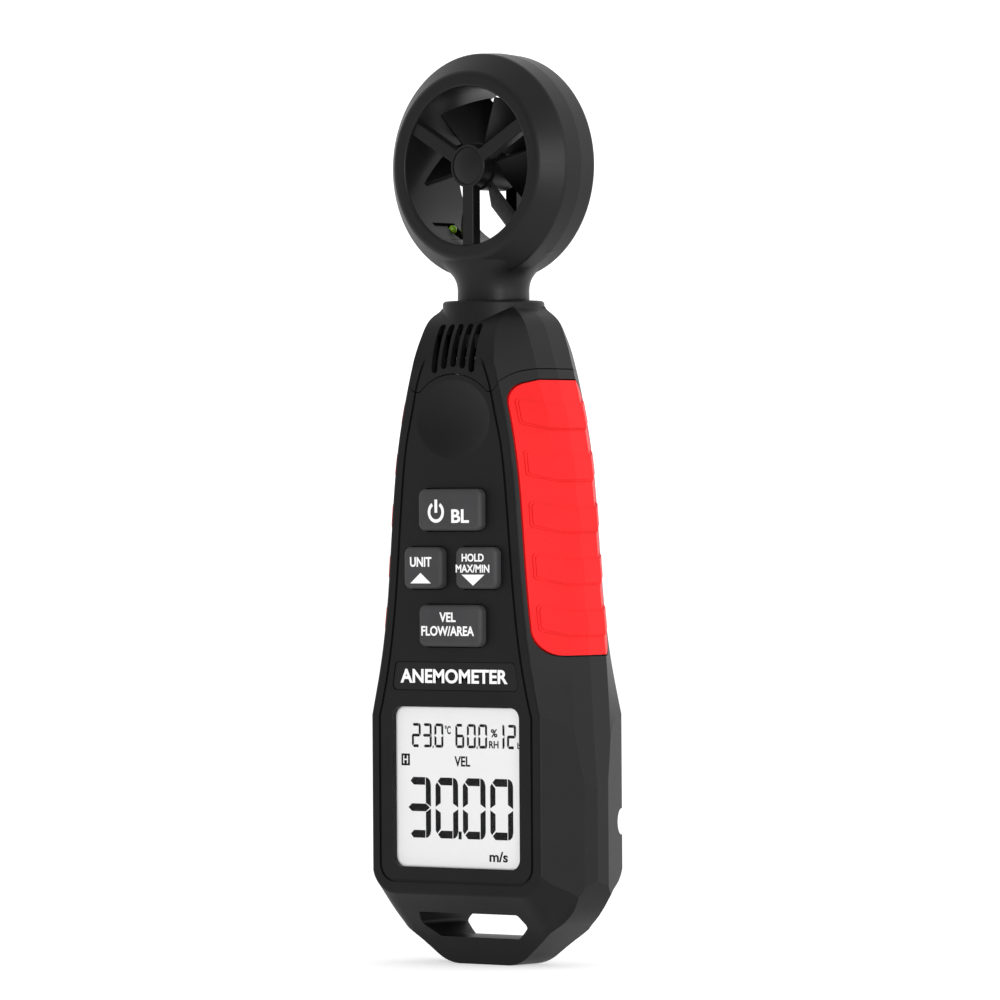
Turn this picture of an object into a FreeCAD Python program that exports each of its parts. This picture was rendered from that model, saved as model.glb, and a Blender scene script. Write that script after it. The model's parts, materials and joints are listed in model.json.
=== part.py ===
import FreeCAD
import Part

import math
import os

# A handheld vane anemometer, standing upright.  Millimetres.
# +Z runs up the length, the display faces -Y, +X is the right-hand side seen from the front.
# The origin is at the bottom centre.  Y = 0 is the plane where the two half casings meet.

V = FreeCAD.Vector

# ---- overall size -----------------------------------------------------------------------
TOTAL_HEIGHT = 160.0
HALF_DEPTH = 11.3
CLEAR = 0.2
FAR = 60.0

# ---- handle: flared upper part, as height, half-width of the face, half-width at the side
# ---- fold, half-depth of the fold and half-depth of the face edge
HANDLE_STATIONS = (
    (-6.0, 31.6, 25.8, 4.9, 11.3),
    (8.0, 27.6, 24.6, 4.9, 11.3),
    (28.0, 22.7, 22.8, 4.9, 11.3),
    (44.0, 19.1, 21.6, 4.9, 11.3),
    (60.0, 15.8, 20.3, 4.9, 11.3),
    (72.0, 14.6, 19.2, 4.9, 11.3),
    (85.0, 13.48, 17.9, 5.0, 11.3),
    (92.0, 12.47, 16.8, 5.0, 11.3),
    (98.0, 11.18, 15.5, 5.0, 11.3),
    (104.5, 9.45, 13.8, 5.0, 11.3),
    (107.7, 8.45, 12.85, 5.0, 11.2),
    (110.4, 7.7, 11.9, 5.0, 10.6),
    (112.4, 7.7, 11.0, 4.9, 9.2),
    (114.0, 7.65, 9.6, 4.6, 7.0),
    (115.4, 7.6, 8.3, 4.2, 4.6),
)
SECTION_OVERRUN = 2.0
PARTING_RIDGE = 0.25
EDGE_ROUNDING = 0.6

# ---- handle: straight lower part around the display
LOWER_FACE_HALF = 19.15
LOWER_FOLD_HALF = 22.5
LOWER_FOLD_DEPTH = 3.3
LOWER_BOTTOM = 12.5
KINK_Z = 43.6

# ---- tail with the lanyard slot: outline seen from the front, as x, z, corner radius
TAIL_OUTLINE = (
    (8.0, 0.0, 8.0),
    (22.9, 11.0, 12.0),
    (22.9, TOTAL_HEIGHT, 0.0),
)
# the step back from the face to the thin tail, its lower corners cut off at a slant: depth,
# half-width and height of the cut's lower end, the same of its upper end, rounding of both ends
TAIL_STEPS = (
    (12.3, 15.6, 13.1, 18.7, 16.4, 4.0),
    (11.3, 16.1, LOWER_BOTTOM, 19.2, 15.45, 4.8),
    (9.2, 16.6, 10.3, 20.4, 15.1, 4.0),
    (6.8, 16.5, 7.6, 22.2, 15.3, 3.5),
    (5.2, 15.9, 5.6, 24.6, 16.5, 3.0),
    (4.4, 15.1, 3.6, 27.0, 18.6, 3.0),
    (3.9, 13.4, 0.6, 30.0, 21.5, 3.0),
    (3.2, 11.8, -2.0, 33.0, 24.6, 3.0),
)
TAIL_LOFT_TOP = 41.0
# right-hand corners of the six-sided slot, as x, z, corner radius
SLOT_CORNERS = ((8.9, 4.75, 0.6), (12.1, 7.0, 0.8), (11.2, 9.15, 0.6))

# ---- roll-over of the shoulder towards the collar, as half-depth and height
FRONT_ROLL = ((11.3, 104.8), (10.75, 107.5), (10.15, 109.4), (8.85, 111.9), (6.7, 113.9), (4.4, 115.2))
BACK_ROLL = ((11.3, 106.0), (11.05, 109.2), (9.6, 112.0), (7.0, 114.0), (4.4, 115.4))

# ---- shells
FACE_WALL = 1.5
FACE_INNER = -HALF_DEPTH + FACE_WALL
SIDE_WALL = 2.6
CAP_WALL = 1.6
CAP_FACE_WALL = 1.8
CAVITY_BOTTOM = 14.7
CAP_CEILING = 110.4
RIM = 1.9
RIM_BOTTOM_EXTRA = 0.3
FACE_TOOL_DEPTH = 3.0
GROOVE_WIDTH = 0.5
GROOVE_DEPTH = 0.3
GROOVE_BOTTOM_RADIUS = 3.0
# the groove that frames the face, on the shoulder, as height and half-width
GROOVE_TOP = ((98.0, 9.1), (101.2, 8.35), (104.4, 7.2), (107.6, 5.7))

# ---- seam between the half casings and the top cap
ARCH_PEAK = 103.6
ARCH_END = (7.0, 101.05)
SEAM_RISE = ((7.9, 100.45), (8.9, 100.6), (10.2, 102.1), (11.9, 103.8), (13.8, 104.35), (18.0, 104.4))
SEAM_GAP = 0.18

# ---- collar, neck and measuring head
COLLAR_RADIUS = 8.95
COLLAR_BOTTOM = 111.0
COLLAR_TOP = 116.4
COLLAR_ROUNDING = 0.6
COLLAR_BORE = 6.5
NECK_STEM_RADIUS = 6.15
NECK_FLANGE_RADIUS = 7.8
NECK_FLANGE_BOTTOM = 108.0
NECK_PASSAGE = 1.5
# flare of the neck into the duct, as height, half-width and half-depth
NECK_FLARE = (
    (113.5, 6.3, 6.27),
    (116.3, 6.3, 6.27),
    (118.5, 6.33, 6.3),
    (120.1, 6.75, 6.6),
    (121.5, 8.1, 7.0),
    (122.9, 10.3, 7.35),
    (124.1, 12.1, 7.5),
    (125.3, 13.4, 7.5),
)
HEAD_Z = 140.0
HEAD_RADIUS = 20.0
HEAD_EDGE_RADIUS = 19.8
HEAD_EDGE_DEPTH = 3.9
HEAD_RIM_RADIUS = 16.3
HEAD_HALF_DEPTH = 7.65
BORE_RADIUS = 13.9
BORE_LIP = 0.5
ARM_ANGLES = (30.0, 150.0, 270.0)
ARM_WIDTH = 2.45
ARM_DEPTH = 2.0
ARM_SETBACK = 0.6
ARM_ROUNDING = 0.3
HUB_RADIUS = 3.85
HUB_BACK = 4.35
CAP_DOME_RADIUS = 3.2
CAP_DOME_HEIGHT = 0.55
CAP_DOME_Y = -6.95
CAP_SEAT_Y = -6.6
BEARING_RADIUS = 1.8
BEARING_FRONT = -6.3
SHAFT_RADIUS = 0.75
BAY_HALF_ANGLE = 46.5
BAY_RADIUS = 15.7
BAY_FRONT = 4.7
BAY_BACK = 1.25
BOARD_START = 225.3
BOARD_SLIT = 242.0
BOARD_STOP = 272.0
BOARD_SLIT_WIDTH = 0.6
BOARD_STEP = 0.35
BOARD_FOOT = 0.5
BOARD_NOTCH_Y = -0.7
BAY_CLEAR = 0.1
SENSOR_ANGLE = 228.6
SENSOR_Y = 0.2
SENSOR_RADIUS = 0.75
SENSOR_SINK = 0.35
SENSOR_SEAT_GAP = 0.06
LEAD_RADIUS = 0.9
LEAD_BOTTOM = 97.0

# ---- impeller
BLADES = 6
BLADE_TIP = 12.6
BLADE_CHORD = 9.1
BLADE_PITCH = 47.0
BLADE_THICKNESS = 0.7
BLADE_FRONT = -3.85
BLADE_START = 133.0
IMPELLER_HUB = 4.2
IMPELLER_FRONT = -4.05
IMPELLER_BACK = 3.3
IMPELLER_ROUNDING = 0.8

# ---- display
LCD_HALF = 14.45
LCD_BOTTOM = 17.2
LCD_TOP = 45.3
LCD_RADIUS = 1.9
PANE_HALF = 15.4
PANE_BOTTOM = 15.4
PANE_TOP = 46.8
PANE_FRONT = -10.15
PANE_BACK = -9.95
GLASS_FRONT = -9.9
GLASS_BACK = -7.9
GLASS_SIZE = (30.0, 31.0)
LIGHT_SIZE = (29.0, 25.4)
PANE_CLEAR = 0.1
ZEBRA_HEIGHT = 2.0
ZEBRA_BOTTOMS = (15.7, 44.4)

# ---- buttons, as centre x, centre z, width
BUTTON_HEIGHT = 7.3
BUTTON_RADIUS = 1.3
BUTTON_PROUD = 1.5
BUTTON_EDGE = 0.8
FLANGE_OVERLAP = 0.6
FLANGE_THICKNESS = 0.8
STEM_RADIUS = 1.4
STEM_END_Y = -7.9
BUTTON_TRAVEL = 0.8
BUTTONS = {
    "power_button": (0.0, 79.8, 14.2),
    "unit_button": (-6.15, 69.65, 8.6),
    "hold_button": (5.95, 69.65, 9.2),
    "mode_button": (0.0, 59.55, 14.2),
}
PLATE_BOTTOM = 48.3
PLATE_TOP = 53.1
PLATE_HALF_BOTTOM = 14.25
PLATE_HALF_TOP = 13.45
PLATE_BACK = -HALF_DEPTH + 0.35
PLATE_THICKNESS = 0.25

# ---- thumb recess above the buttons
THUMB_Z = 95.6
THUMB_HALF_WIDTH = 8.3
THUMB_HALF_HEIGHT = 6.9
THUMB_DEPTH = 1.35
THUMB_BACKING = 0.8

# ---- vents in the shoulder
VENT_PITCH = 2.1
VENT_WIDTH = 1.35
VENT_TOP = 112.3
VENT_END_Y = -8.0
VENT_BOTTOMS = (103.7, 104.4, 104.7, 104.4, 103.7)

# ---- side grips
GRIP_THICKNESS = 1.2
GRIP_HALF_DEPTH = 10.3
GRIP_BOTTOM = 54.4
GRIP_TOP = 102.3
GRIP_TOP_DROP = 1.3
GRIP_RADIUS = 4.5
GRIP_TOP_RADIUS = 4.0
GRIP_PEAK_RADIUS = 1.0
GRIP_GAP = 0.25
GRIP_INNER_X = 4.0
PAD_COUNT = 5
PAD_TOP = 98.2
PAD_PITCH = 9.0
PAD_HEIGHT = 4.55
PAD_HALF_DEPTH = 9.35
PAD_RISE = 1.1
PAD_FOLD = 5.0
# the pads' soft edge, as two steps: how proud, and how far in from the outline
PAD_LAYERS = ((0.2, 0.0), (0.4, 0.3))

# ---- battery door and batteries
DOOR_TOP = 61.5
DOOR_SPLIT = 9.4
DOOR_LIP = 0.8
DOOR_BEND = 52.0
DOOR_RADIUS = 1.5
RAIL_BOTTOM = 14.0
RAIL_RUNOUT = 8.0
RAIL_TOP = KINK_Z - 2
THUMB_GROOVE_Z = 25.0
THUMB_GROOVE_RADIUS = 2.6
THUMB_GROOVE_DEPTH = 1.2
NOTCH_RADIUS = 2.3
NOTCH_DEPTH = 2.6
NOTCH_INNER_X = 18.4
BATTERIES = 3
TURNED_CELL = 1
BATTERY_RADIUS = 5.25
NUB_RADIUS = 1.9
NUB_HEIGHT = 1.0
PLATE_SHEET = 0.4
CONTACT_HALF = (4.4, 4.6)
SPRING_RADIUS = 2.8
SPRING_WIRE = 0.22
SPRING_TURNS = 2
BATTERY_LENGTH = 44.5
BATTERY_PITCH = 10.9
BATTERY_Y = 3.0
BATTERY_BOTTOM = 17.1
TRAY_HALF = 17.1
TRAY_FLOOR = -2.35
TRAY_WALL = 0.6
TRAY_BOTTOM = 15.0
TRAY_TOP = 62.0

# ---- boards and screws
BOARD_FRONT = -5.6
BOARD_BACK = -4.0
BOARD_BOTTOM = 15.2
BOARD_TOP = 98.0
BOARD_GAP = 0.4
MAT_FRONT = -8.0
MAT_BACK = -7.2
MAT_BOTTOM = 55.3
MAT_TOP = 83.9
MAT_HOLE = 2.0
MAT_RIB_HALF = 8.5
SWITCH_SIZE = 4.6
SWITCH_HEIGHT = 0.9
PLUNGER_RADIUS = 1.1
PLUNGER_HEIGHT = 1.35
# chips on the back of the board, as centre x, centre z, width, height, thickness
CHIPS = (
    (0.0, 76.0, 10.0, 10.0, 1.4),
    (-9.0, 68.5, 5.0, 4.0, 1.5),
    (9.0, 68.5, 5.0, 4.0, 1.5),
    (8.5, 79.0, 3.2, 7.0, 2.2),
)
CASE_SCREWS = ((-8.5, 93.5), (8.5, 93.5), (-15.5, 12.6), (15.5, 12.6))
CASE_THREAD = 1.1
CASE_HEAD = 1.8
CASE_HEAD_Y = 4.5
CASE_HEAD_HEIGHT = 1.4
CASE_TIP_Y = -7.2
CASE_POST = 2.4
CASE_SLEEVE = 2.6
BOARD_SCREWS = ((-13.0, 51.0), (13.0, 51.0), (-9.0, 86.4), (9.0, 86.4))
BOARD_THREAD = 0.8
BOARD_HEAD = 1.5
BOARD_HEAD_HEIGHT = 0.85
BOARD_TIP_Y = -9.0
BOARD_POST = 1.9
CROSS_REACH = 1.1
CROSS_HALF_WIDTH = 0.22
CROSS_DEPTH = 0.7
FIT = 0.03


# ---- small helpers ----------------------------------------------------------------------
def box(x0, x1, y0, y1, z0, z1):
    return Part.makeBox(x1 - x0, y1 - y0, z1 - z0, V(x0, y0, z0))


def rod_y(x, z, radius, y0, y1):
    return Part.makeCylinder(radius, y1 - y0, V(x, y0, z), V(0, 1, 0))


def rod_z(x, y, radius, z0, z1):
    return Part.makeCylinder(radius, z1 - z0, V(x, y, z0), V(0, 0, 1))


def unite(shapes):
    first, *others = shapes
    return first.fuse(others).removeSplitter() if others else first


def mirrored(points):
    """The given right-hand points (u, v, radius), followed by their mirror images."""
    return list(points) + [(-u, v, r) for u, v, r in reversed(points)]


def outline_edges(corners, place):
    """Edges of a closed outline: straight runs with a tangent arc at each corner (u, v, radius)."""
    starts = []
    ends = []
    middles = []
    count = len(corners)
    for i, (u, v, radius) in enumerate(corners):
        corner = V(u, v, 0)
        back = V(*corners[i - 1][:2], 0) - corner
        ahead = V(*corners[(i + 1) % count][:2], 0) - corner
        back.normalize()
        ahead.normalize()
        if radius == 0:
            starts.append(corner)
            ends.append(corner)
            middles.append(None)
            continue
        half = back.getAngle(ahead) / 2
        reach = radius / math.tan(half)
        bisector = back + ahead
        bisector.normalize()
        starts.append(corner + back * reach)
        ends.append(corner + ahead * reach)
        middles.append(corner + bisector * (radius / math.sin(half) - radius))
    edges = []
    for i in range(count):
        if middles[i] is not None:
            arc = Part.Arc(place(starts[i]), place(middles[i]), place(ends[i]))
            edges.append(arc.toShape())
        here = ends[i]
        there = starts[(i + 1) % count]
        if here.distanceToPoint(there) > 1e-6:
            edges.append(Part.makeLine(place(here), place(there)))
    return edges


def plate_xz(corners, y0, y1):
    """A plate seen from the front: outline in x and z, from depth y0 to y1."""
    wire = Part.Wire(outline_edges(corners, lambda p: V(p.x, y0, p.y)))
    return Part.Face(wire).extrude(V(0, y1 - y0, 0))


def plate_yz(corners, x0, x1):
    """A plate seen from the side: outline in y and z, from x0 to x1."""
    wire = Part.Wire(outline_edges(corners, lambda p: V(x0, p.x, p.y)))
    return Part.Face(wire).extrude(V(x1 - x0, 0, 0))


def rounded_box_xz(x, z, width, height, radius, y0, y1):
    right = ((width / 2, -height / 2, radius), (width / 2, height / 2, radius))
    corners = [(u + x, v + z, r) for u, v, r in mirrored(right)]
    return plate_xz(corners, y0, y1)


def spline(points):
    curve = Part.BSplineCurve()
    curve.interpolate([V(*p) for p in points])
    return curve.toShape()


def mirror_x(shape):
    return shape.mirror(V(0, 0, 0), V(1, 0, 0))


def mirror_y(shape):
    return shape.mirror(V(0, 0, 0), V(0, 1, 0))


def rounded(shape, chosen, radius):
    """Round the edges of a shape for which chosen(edge) is true."""
    edges = [e for e in shape.Edges if chosen(e)]
    return shape.makeFillet(radius, edges)


# ---- outer form of the handle -----------------------------------------------------------
def ten_sided(z, front, fold, fold_depth, edge_depth, inset):
    """Closed wire of a handle section at height z, its slopes run on past front and back."""
    front -= inset
    fold -= inset
    slope = (fold - front) / (edge_depth - fold_depth)
    outer = front - slope * SECTION_OVERRUN
    depth = edge_depth + SECTION_OVERRUN
    right = [
        (outer, -depth),
        (fold, -fold_depth),
        (fold + PARTING_RIDGE, 0.0),
        (fold, fold_depth),
        (outer, depth),
    ]
    points = right + [(-x, y) for x, y in reversed(right)]
    corners = [V(x, y, z) for x, y in points]
    return Part.makePolygon(corners + corners[:1])


def side_envelope(inset):
    """The handle's sides, without its front, back, bottom or shoulder."""
    flared = Part.makeLoft([ten_sided(*s, inset) for s in HANDLE_STATIONS], True, False)
    lower = ten_sided(-5.5, LOWER_FACE_HALF, LOWER_FOLD_HALF, LOWER_FOLD_DEPTH, HALF_DEPTH, inset)
    straight = Part.Face(lower).extrude(V(0, 0, TOTAL_HEIGHT))
    return flared.common(straight)


def shoulder_profile():
    """Block as thick as the handle, rolled over at the shoulder, front and back."""
    front = [(-d, z) for d, z in FRONT_ROLL]
    back = [(d, z) for d, z in reversed(BACK_ROLL)]
    edges = [
        Part.makeLine(V(-FAR, -HALF_DEPTH, -5), V(-FAR, *front[0])),
        spline([(-FAR, y, z) for y, z in front]),
        Part.makeLine(V(-FAR, *front[-1]), V(-FAR, *back[0])),
        spline([(-FAR, y, z) for y, z in back]),
        Part.makeLine(V(-FAR, *back[-1]), V(-FAR, HALF_DEPTH, -5)),
        Part.makeLine(V(-FAR, HALF_DEPTH, -5), V(-FAR, -HALF_DEPTH, -5)),
    ]
    return Part.Face(Part.Wire(edges)).extrude(V(2 * FAR, 0, 0))


def tail_step(depth, low_half, low_z, high_half, high_z, radius):
    right = [(low_half, low_z, radius), (high_half, high_z, radius), (high_half, TAIL_LOFT_TOP, 0.0)]
    return Part.Wire(outline_edges(mirrored(right), lambda p: V(p.x, -depth, p.y)))


def tail_profile():
    """Steps the face back to the thin tail, front and back, and trims the tail's outline."""
    front = Part.makeLoft([tail_step(*s) for s in TAIL_STEPS], True, False)
    core = box(-FAR, FAR, -TAIL_STEPS[-1][0], TAIL_STEPS[-1][0], -5, TAIL_LOFT_TOP)
    upper = box(-FAR, FAR, -FAR, FAR, 30, TOTAL_HEIGHT)
    steps = unite([upper, core, front, mirror_y(front)])
    return steps.common(plate_xz(mirrored(TAIL_OUTLINE), -FAR, FAR))


def lanyard_slot():
    return plate_xz(mirrored(SLOT_CORNERS), -FAR, FAR)


def seam_tool(drop):
    """Everything above the wavy seam of the top cap, moved down by drop."""
    peak = Part.Arc(
        V(-ARCH_END[0], -FAR, ARCH_END[1]), V(0, -FAR, ARCH_PEAK), V(ARCH_END[0], -FAR, ARCH_END[1])
    )
    right = [(ARCH_END[0], -FAR, ARCH_END[1])] + [(x, -FAR, z) for x, z in SEAM_RISE]
    left = [(-x, y, z) for x, y, z in right]
    end = SEAM_RISE[-1]
    top = TOTAL_HEIGHT
    edges = [
        spline(left[::-1]),
        peak.toShape(),
        spline(right),
        Part.makeLine(V(end[0], -FAR, end[1]), V(FAR, -FAR, end[1])),
        Part.makeLine(V(FAR, -FAR, end[1]), V(FAR, -FAR, top)),
        Part.makeLine(V(FAR, -FAR, top), V(-FAR, -FAR, top)),
        Part.makeLine(V(-FAR, -FAR, top), V(-FAR, -FAR, end[1])),
        Part.makeLine(V(-FAR, -FAR, end[1]), V(-end[0], -FAR, end[1])),
    ]
    tool = Part.Face(Part.Wire(Part.__sortEdges__(edges))).extrude(V(0, 2 * FAR, 0))
    tool.translate(V(0, 0, -drop))
    return tool


def station_half(z):
    """Half-width of the face at height z, between the stations of the handle."""
    if z <= KINK_Z:
        return LOWER_FACE_HALF
    pairs = zip(HANDLE_STATIONS, HANDLE_STATIONS[1:])
    for low, high in pairs:
        if low[0] <= z <= high[0]:
            share = (z - low[0]) / (high[0] - low[0])
            return low[1] + share * (high[1] - low[1])
    return HANDLE_STATIONS[-1][1]


def face_outline(inset):
    """Solid over the face area, inset from its edge: bottom, sides, flare, up to the shoulder."""
    y0 = -HALF_DEPTH - FACE_TOOL_DEPTH
    half = LOWER_FACE_HALF - inset
    radius = GROOVE_BOTTOM_RADIUS + RIM - inset
    bottom = LOWER_BOTTOM + inset + RIM_BOTTOM_EXTRA
    flare = [(half, KINK_Z)]
    flare += [(s[1] - inset, s[0]) for s in HANDLE_STATIONS if KINK_Z + 5 < s[0] < GROOVE_TOP[0][0] - 3]
    flare += [(half_top + RIM - inset, z) for z, half_top in GROOVE_TOP]
    corner = radius * (1 - math.sqrt(0.5))
    right = [
        Part.Arc(
            V(half - radius, y0, bottom),
            V(half - corner, y0, bottom + corner),
            V(half, y0, bottom + radius),
        ).toShape(),
        Part.makeLine(V(half, y0, bottom + radius), V(half, y0, KINK_Z)),
        spline([(x, y0, z) for x, z in flare]),
    ]
    left = [mirror_x(e) for e in right]
    end = flare[-1]
    closing = [
        Part.makeLine(V(half - radius, y0, bottom), V(radius - half, y0, bottom)),
        Part.makeLine(V(end[0], y0, end[1]), V(-end[0], y0, end[1])),
    ]
    wire = Part.Wire(Part.__sortEdges__(right + left + closing))
    return Part.Face(wire).extrude(V(0, 2 * FACE_TOOL_DEPTH, 0))


def face_groove():
    """The thin groove between the face and its rim, open at the top."""
    top = GROOVE_TOP[-1][0]
    ring = face_outline(RIM - GROOVE_WIDTH / 2).cut(face_outline(RIM + GROOVE_WIDTH / 2))
    return ring.common(box(-FAR, FAR, -FAR, -HALF_DEPTH + GROOVE_DEPTH, 0, top - 0.01))


# ---- casings ----------------------------------------------------------------------------
def on_face_edge(edge):
    """True for the sharp edges around the flat face, not for its top line."""
    bounds = edge.BoundBox
    top_line = bounds.ZLength < 0.01 and bounds.ZMin > KINK_Z
    return bounds.YMax < -HALF_DEPTH + 0.01 and not top_line


def outer_body():
    body = side_envelope(0.0).common(shoulder_profile()).common(tail_profile())
    return rounded(body, on_face_edge, EDGE_ROUNDING).cut(lanyard_slot())


def casing_cavity():
    depth = HALF_DEPTH - FACE_WALL
    return side_envelope(SIDE_WALL).common(box(-FAR, FAR, -depth, depth, CAVITY_BOTTOM, CAP_CEILING))


def grip_window(grow):
    half = GRIP_HALF_DEPTH + grow
    right = (
        (half, GRIP_BOTTOM - grow, GRIP_RADIUS),
        (half, GRIP_TOP - GRIP_TOP_DROP + grow, GRIP_TOP_RADIUS),
        (PAD_FOLD, GRIP_TOP + grow, GRIP_PEAK_RADIUS),
    )
    return plate_yz(mirrored(right), GRIP_INNER_X, FAR)


def grip_recess():
    recess = grip_window(GRIP_GAP).cut(side_envelope(GRIP_THICKNESS))
    return unite([recess, mirror_x(recess)])


def casing():
    """Both half casings in one piece, before they are parted at Y = 0."""
    return outer_body().cut([seam_tool(SEAM_GAP), casing_cavity(), grip_recess()])


def thumb_recess():
    """Shallow dish: part of a large ball, stretched a little sideways."""
    radius = (THUMB_HALF_WIDTH**2 + THUMB_DEPTH**2) / (2 * THUMB_DEPTH)
    ball = Part.makeSphere(radius)
    ball = ball.common(box(-10, 10, -radius - 1, -radius + 3, -10, 10))
    squeeze = FreeCAD.Matrix()
    squeeze.scale(V(1, 1, THUMB_HALF_HEIGHT / THUMB_HALF_WIDTH))
    dish = ball.transformGeometry(squeeze)
    dish = dish.mirror(V(0, 0, 0), V(0, 1, 0))
    dish.translate(V(0, -HALF_DEPTH + THUMB_DEPTH - radius, THUMB_Z))
    return dish


def button_hole(x, z, width):
    size = 2 * CLEAR
    return rounded_box_xz(
        x, z, width + size, BUTTON_HEIGHT + size, BUTTON_RADIUS + CLEAR, -FAR, FACE_INNER + 0.1
    )


def display_opening():
    """Opening in the face, with a rebate behind it that takes the window."""
    middle = (LCD_BOTTOM + LCD_TOP) / 2
    height = LCD_TOP - LCD_BOTTOM
    opening = rounded_box_xz(0, middle, 2 * LCD_HALF, height, LCD_RADIUS, -FAR, FACE_INNER + 0.1)
    half = PANE_HALF + PANE_CLEAR
    low = PANE_BOTTOM - PANE_CLEAR
    high = PANE_TOP + PANE_CLEAR
    return unite([opening, box(-half, half, PANE_FRONT, FACE_INNER + 0.1, low, high)])


def plate_outline(grow, radius, y0, y1):
    """The trapezoid of the name plate, grown all round, from depth y0 to y1."""
    right = (
        (PLATE_HALF_BOTTOM + grow, PLATE_BOTTOM - grow, radius),
        (PLATE_HALF_TOP + grow, PLATE_TOP + grow, radius),
    )
    return plate_xz(mirrored(right), y0, y1)


def front_cover():
    shell = casing().common(box(-FAR, FAR, -FAR, 0, -5, TOTAL_HEIGHT))
    added = [rod_y(x, z, CASE_POST, FACE_INNER, -0.6) for x, z in CASE_SCREWS if z > CAVITY_BOTTOM]
    added += [rod_y(x, z, BOARD_POST, FACE_INNER, BOARD_FRONT) for x, z in BOARD_SCREWS]
    added.append(rod_y(0, THUMB_Z, THUMB_HALF_HEIGHT, FACE_INNER, FACE_INNER + THUMB_BACKING))
    shell = unite([shell] + added)
    removed = [display_opening(), face_groove(), thumb_recess()]
    removed.append(plate_outline(0.15, 1.0, -FAR, PLATE_BACK))
    removed += [button_hole(*b) for b in BUTTONS.values()]
    removed += [rod_y(x, z, CASE_THREAD + FIT, CASE_TIP_Y - 0.3, 0.1) for x, z in CASE_SCREWS]
    tip = BOARD_TIP_Y - 0.2
    removed += [rod_y(x, z, BOARD_THREAD + FIT, tip, BOARD_FRONT + 0.1) for x, z in BOARD_SCREWS]
    return shell.cut(removed)


def thumb_groove():
    """Shallow groove across the back, where a thumb pushes the battery door."""
    y = HALF_DEPTH + THUMB_GROOVE_RADIUS - THUMB_GROOVE_DEPTH
    return Part.makeCylinder(THUMB_GROOVE_RADIUS, 2 * FAR, V(-FAR, y, THUMB_GROOVE_Z), V(1, 0, 0))


def side_notches():
    """Deeper half-round notches where the thumb groove runs out over the edges of the back."""
    y = HALF_DEPTH + NOTCH_RADIUS - NOTCH_DEPTH
    along = V(1, 0, 0)
    notch = Part.makeCylinder(NOTCH_RADIUS, FAR, V(NOTCH_INNER_X, y, THUMB_GROOVE_Z), along)
    return unite([notch, mirror_x(notch)])


def door_outline(grow, y0, y1):
    """Panel inside the rim of the back, open at the bottom, from depth y0 to y1."""
    half = LOWER_FACE_HALF - RIM + grow
    top = DOOR_TOP + grow
    flare = [(half, KINK_Z)]
    flare += [(station_half(z) - RIM + grow, z) for z in (DOOR_BEND, top)]
    corners = [(half, -10.0, 0.0)] + [(x, z, 0.0) for x, z in flare[:-1]]
    corners.append((flare[-1][0], top, DOOR_RADIUS))
    return plate_xz(mirrored(corners), y0, y1)


def door_rail(grow, bottom):
    """Lips along both sides of the door that run in slots of the back cover."""
    half = LOWER_FACE_HALF - RIM + DOOR_LIP + grow
    return box(-half, half, DOOR_SPLIT - grow, DOOR_SPLIT + DOOR_LIP + grow, bottom, RAIL_TOP + grow)


def battery_tray():
    """Floor and end walls that carry the batteries and their contacts.

    In front of the parting plane the tray stays clear of the front cover; behind it the end
    walls run into the back cover.
    """
    under = TRAY_FLOOR - TRAY_WALL
    floor = box(-FAR, FAR, under, TRAY_FLOOR, CAVITY_BOTTOM, TRAY_TOP + TRAY_WALL)
    top = box(-FAR, FAR, under, DOOR_SPLIT, TRAY_TOP, TRAY_TOP + TRAY_WALL)
    bottom = box(-FAR, FAR, under, DOOR_SPLIT, CAVITY_BOTTOM - CLEAR, TRAY_BOTTOM)
    before = box(-FAR, FAR, -FAR, 0, CAVITY_BOTTOM + 0.05, TRAY_TOP + TRAY_WALL)
    behind = box(-FAR, FAR, 0, FAR, 0, TRAY_TOP + TRAY_WALL)
    front = unite([floor, top, bottom]).common(side_envelope(SIDE_WALL + CLEAR)).common(before)
    back = unite([top, bottom]).common(side_envelope(SIDE_WALL - 0.3)).common(behind)
    return unite([front, back])


def back_cover():
    shell = casing().common(box(-FAR, FAR, 0, FAR, -5, TOTAL_HEIGHT))
    sleeves = [rod_y(x, z, CASE_SLEEVE, 0, HALF_DEPTH - 1) for x, z in CASE_SCREWS if z > CAVITY_BOTTOM]
    shell = unite([shell, battery_tray()] + sleeves)
    removed = [door_outline(CLEAR, DOOR_SPLIT - CLEAR, FAR), thumb_groove(), side_notches()]
    removed += [door_rail(CLEAR, RAIL_BOTTOM), door_rail(CLEAR, RAIL_BOTTOM - RAIL_RUNOUT)]
    removed += [rod_y(x, z, CASE_THREAD + 0.15, -0.1, FAR) for x, z in CASE_SCREWS]
    removed += [rod_y(x, z, CASE_HEAD + CLEAR, CASE_HEAD_Y, FAR) for x, z in CASE_SCREWS]
    return shell.cut(removed)


def battery_door():
    body = outer_body()
    panel = door_outline(0.0, DOOR_SPLIT, FAR).common(body)
    return unite([panel, door_rail(0.0, RAIL_BOTTOM)]).cut(thumb_groove())


# ---- top cap with collar and vents ------------------------------------------------------
def vent_slot(i):
    x = (i - (len(VENT_BOTTOMS) - 1) / 2) * VENT_PITCH
    bottom = VENT_BOTTOMS[i]
    height = VENT_TOP - bottom
    radius = VENT_WIDTH / 2 - 0.001
    return rounded_box_xz(x, bottom + height / 2, VENT_WIDTH, height, radius, -FAR, VENT_END_Y)


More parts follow.
